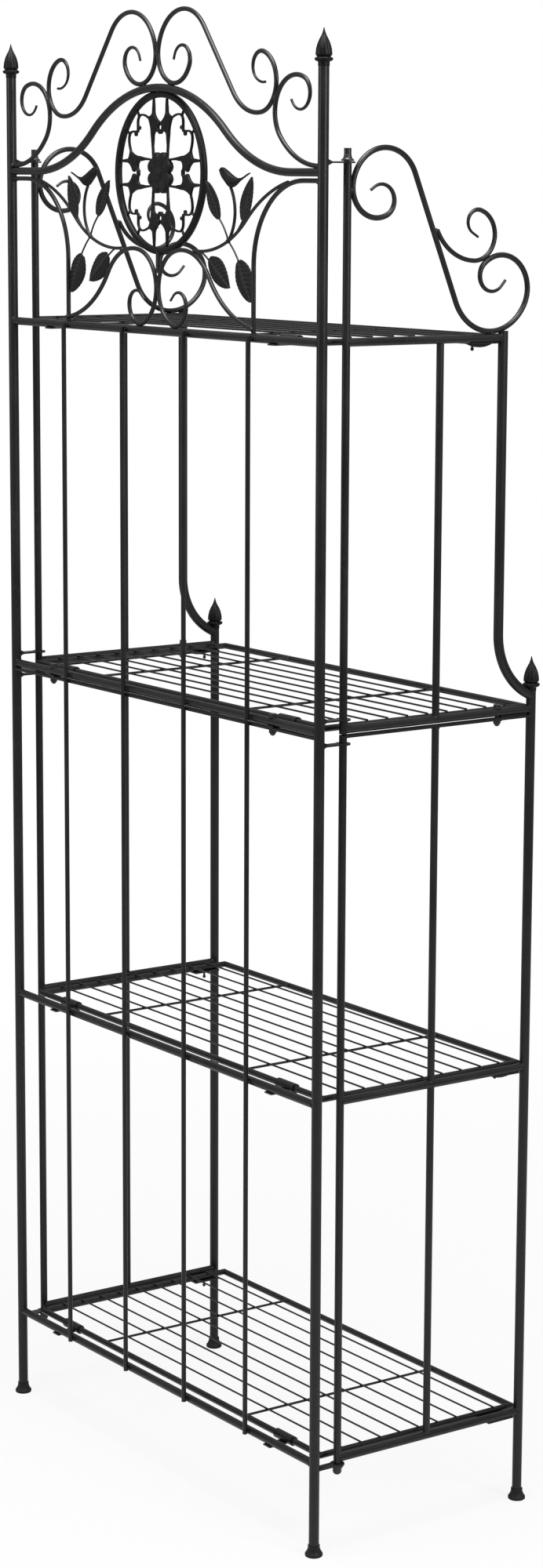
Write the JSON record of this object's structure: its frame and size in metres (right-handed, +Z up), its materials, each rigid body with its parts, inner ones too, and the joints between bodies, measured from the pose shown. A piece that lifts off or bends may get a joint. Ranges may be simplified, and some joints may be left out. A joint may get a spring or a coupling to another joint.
{
  "type": "bakers rack",
  "caption": "Folding metal bakers rack with wire shelves, hinged side frames, a scrolled crest and a leaf and bird medallion panel.",
  "frame": {"origin": "centre of the footprint, on the plane that the feet stand on", "axes": "+Z up, -Y to the open front, +X to the right side frame"},
  "size_m": [0.709, 0.342, 1.8632],
  "materials": {
    "powder_coated_steel": "semi-gloss black powder coat",
    "cast_ornament": "matte black painted casting",
    "black_hardware": "black oxide",
    "foot_caps": "matte black"
  },
  "bodies": {
    "back": {"arch_tube": "powder_coated_steel", "back_bars": "powder_coated_steel", "back_rails": "powder_coated_steel", "back_seam_bar": "powder_coated_steel", "back_seam_bolts": "black_hardware", "base_scrolls": "powder_coated_steel", "birds": "cast_ornament", "corner_arches": "powder_coated_steel", "crest_scrolls": "powder_coated_steel", "hinge_straps": "powder_coated_steel", "leaves": "cast_ornament", "lower_posts": "powder_coated_steel", "medallion_filigree": "cast_ornament", "medallion_ring": "cast_ornament", "medallion_stem": "powder_coated_steel", "post_finials": "cast_ornament", "rear_feet": "foot_caps", "shelf_clips": "powder_coated_steel", "upper_posts": "powder_coated_steel", "vines": "powder_coated_steel"},
    "left_side": {"left_bracket_pegs": "black_hardware", "left_foot": "foot_caps", "left_leg_finial": "cast_ornament", "left_lower_leg": "powder_coated_steel", "left_middle_bars": "powder_coated_steel", "left_rails": "powder_coated_steel", "left_scrolls": "powder_coated_steel", "left_seam_bar": "powder_coated_steel", "left_seam_bolt": "black_hardware", "left_shelf_brackets": "powder_coated_steel", "left_stile_caps": "black_hardware", "left_stiles": "powder_coated_steel", "left_stub_post": "powder_coated_steel", "left_upper_leg": "powder_coated_steel"},
    "right_side": {"right_bracket_pegs": "black_hardware", "right_foot": "foot_caps", "right_leg_finial": "cast_ornament", "right_lower_leg": "powder_coated_steel", "right_middle_bars": "powder_coated_steel", "right_rails": "powder_coated_steel", "right_scrolls": "powder_coated_steel", "right_seam_bar": "powder_coated_steel", "right_seam_bolt": "black_hardware", "right_shelf_brackets": "powder_coated_steel", "right_stile_caps": "black_hardware", "right_stiles": "powder_coated_steel", "right_stub_post": "powder_coated_steel", "right_upper_leg": "powder_coated_steel"},
    "shelf_1": {"shelf_1_frame": "powder_coated_steel", "shelf_1_ties": "powder_coated_steel", "shelf_1_wires": "powder_coated_steel"},
    "shelf_2": {"shelf_2_frame": "powder_coated_steel", "shelf_2_ties": "powder_coated_steel", "shelf_2_wires": "powder_coated_steel"},
    "shelf_3": {"shelf_3_frame": "powder_coated_steel", "shelf_3_ties": "powder_coated_steel", "shelf_3_wires": "powder_coated_steel"},
    "shelf_4": {"shelf_4_frame": "powder_coated_steel", "shelf_4_ties": "powder_coated_steel", "shelf_4_wires": "powder_coated_steel"}
  },
  "joints": [
    {"name": "shelf_1_lift", "type": "hinge", "parent": "back", "child": "shelf_1", "pos_m": [0, 0.136, 0.1176], "axis": [-1, 0, 0], "range_deg": [0, 90]},
    {"name": "shelf_2_lift", "type": "hinge", "parent": "back", "child": "shelf_2", "pos_m": [0, 0.136, 0.5701], "axis": [-1, 0, 0], "range_deg": [0, 90]},
    {"name": "shelf_3_lift", "type": "hinge", "parent": "back", "child": "shelf_3", "pos_m": [0, 0.136, 1.0226], "axis": [-1, 0, 0], "range_deg": [0, 90]},
    {"name": "shelf_4_lift", "type": "hinge", "parent": "back", "child": "shelf_4", "pos_m": [0, 0.136, 1.4751], "axis": [-1, 0, 0], "range_deg": [0, 90]},
    {"name": "left_side_swing", "type": "hinge", "parent": "back", "child": "left_side", "pos_m": [-0.3435, 0.1255, 0.9], "axis": [0, 0, -1], "range_deg": [0, 120]},
    {"name": "right_side_swing", "type": "hinge", "parent": "back", "child": "right_side", "pos_m": [0.3435, 0.1255, 0.9], "axis": [0, 0, 1], "range_deg": [0, 120]}
  ]
}
